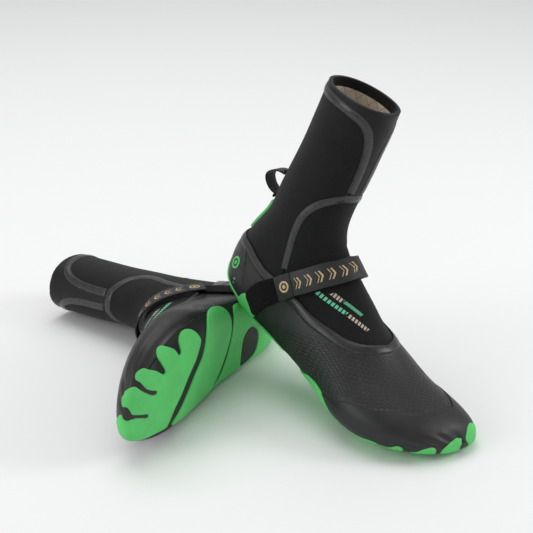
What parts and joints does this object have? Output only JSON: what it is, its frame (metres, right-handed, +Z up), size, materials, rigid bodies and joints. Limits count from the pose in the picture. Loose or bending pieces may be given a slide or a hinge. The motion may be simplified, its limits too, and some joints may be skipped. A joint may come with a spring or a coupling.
{
  "type": "neoprene boots",
  "caption": "Pair of tall neoprene water-sports boots with split-toe rubber foot shell, instep strap, heel pull loop and padded sole; one boot is propped on the other.",
  "frame": {"origin": "middle of the pair's footprint, on the floor", "axes": "+Z up, +X to the right and +Y away from the viewer of the resting pair"},
  "size_m": [0.4322, 0.3851, 0.3127],
  "materials": {
    "fleece": "brushed fleece",
    "smooth_seal": "smooth skin",
    "foam_insole": "matte",
    "jersey_neoprene": "knit faced foam rubber",
    "smooth_neoprene": "smooth skinned foam rubber",
    "seam_rubber": "semi gloss",
    "shell_rubber": "satin, fine texture",
    "rand_rubber": "satin",
    "sole_black": "matte",
    "sole_green": "matte, fine texture",
    "webbing": "woven",
    "loop_pile": "loop pile",
    "strap_rubber": "satin",
    "hook_film": "hook field"
  },
  "bodies": {
    "left_boot": {"left_lining": "fleece", "left_cuff_seal": "smooth_seal", "left_insole": "foam_insole", "left_toe_divider": "jersey_neoprene", "left_cuff_panel": "smooth_neoprene", "left_shaft_panel": "jersey_neoprene", "left_instep_panel": "jersey_neoprene", "left_foot_sock": "jersey_neoprene", "left_cuff_tape": "seam_rubber", "left_cross_tape": "seam_rubber", "left_instep_tape": "seam_rubber", "left_heel_cup": "shell_rubber", "left_vamp_shell": "shell_rubber", "left_toe_rand": "rand_rubber", "left_rim_band": "seam_rubber", "left_sole_base": "sole_black", "left_forefoot_pad": "sole_green", "left_midfoot_pad": "sole_green", "left_heel_pad": "sole_green", "left_heel_insert": "sole_black", "left_pull_strip": "sole_green", "left_pull_loop": "webbing", "left_strap_tab": "sole_green", "left_loop_pad": "loop_pile", "left_strap_anchor": "strap_rubber", "left_strap_root": "strap_rubber"},
    "right_boot": {"right_lining": "fleece", "right_cuff_seal": "smooth_seal", "right_insole": "foam_insole", "right_toe_divider": "jersey_neoprene", "right_cuff_panel": "smooth_neoprene", "right_shaft_panel": "jersey_neoprene", "right_instep_panel": "jersey_neoprene", "right_foot_sock": "jersey_neoprene", "right_cuff_tape": "seam_rubber", "right_cross_tape": "seam_rubber", "right_instep_tape": "seam_rubber", "right_heel_cup": "shell_rubber", "right_vamp_shell": "shell_rubber", "right_toe_rand": "rand_rubber", "right_rim_band": "seam_rubber", "right_sole_base": "sole_black", "right_forefoot_pad": "sole_green", "right_midfoot_pad": "sole_green", "right_heel_pad": "sole_green", "right_heel_insert": "sole_black", "right_pull_strip": "sole_green", "right_pull_loop": "webbing", "right_strap_tab": "sole_green", "right_loop_pad": "loop_pile", "right_strap_anchor": "strap_rubber", "right_strap_root": "strap_rubber"},
    "right_strap": {"right_strap": "strap_rubber"},
    "right_tip": {"right_strap_tip": "strap_rubber", "right_hook_patch": "hook_film"},
    "left_strap": {"left_strap": "strap_rubber"},
    "left_tip": {"left_strap_tip": "strap_rubber", "left_hook_patch": "hook_film"}
  },
  "joints": [
    {"name": "right_boot_lift", "type": "slide", "parent": "left_boot", "child": "right_boot", "axis": [0, 0, 1], "range_m": [0, 0.1]},
    {"name": "right_strap_open", "type": "hinge", "parent": "right_boot", "child": "right_strap", "pos_m": [0.1168, -0.05155, 0.137], "axis": [-0.4395, 0.3448, 0.8294], "range_deg": [0, 120]},
    {"name": "right_tip_peel", "type": "hinge", "parent": "right_strap", "child": "right_tip", "pos_m": [0.04776, -0.06696, 0.12426], "axis": [-0.2276, 0.4741, 0.8505], "range_deg": [0, 75]},
    {"name": "left_strap_open", "type": "hinge", "parent": "left_boot", "child": "left_strap", "pos_m": [-0.10395, 0.00909, 0.03017], "axis": [0.163, -0.9818, -0.0976], "range_deg": [0, 120]},
    {"name": "left_tip_peel", "type": "hinge", "parent": "left_strap", "child": "left_tip", "pos_m": [-0.05715, 0.02645, 0.08188], "axis": [0.2645, -0.9558, 0.1285], "range_deg": [0, 75]}
  ]
}
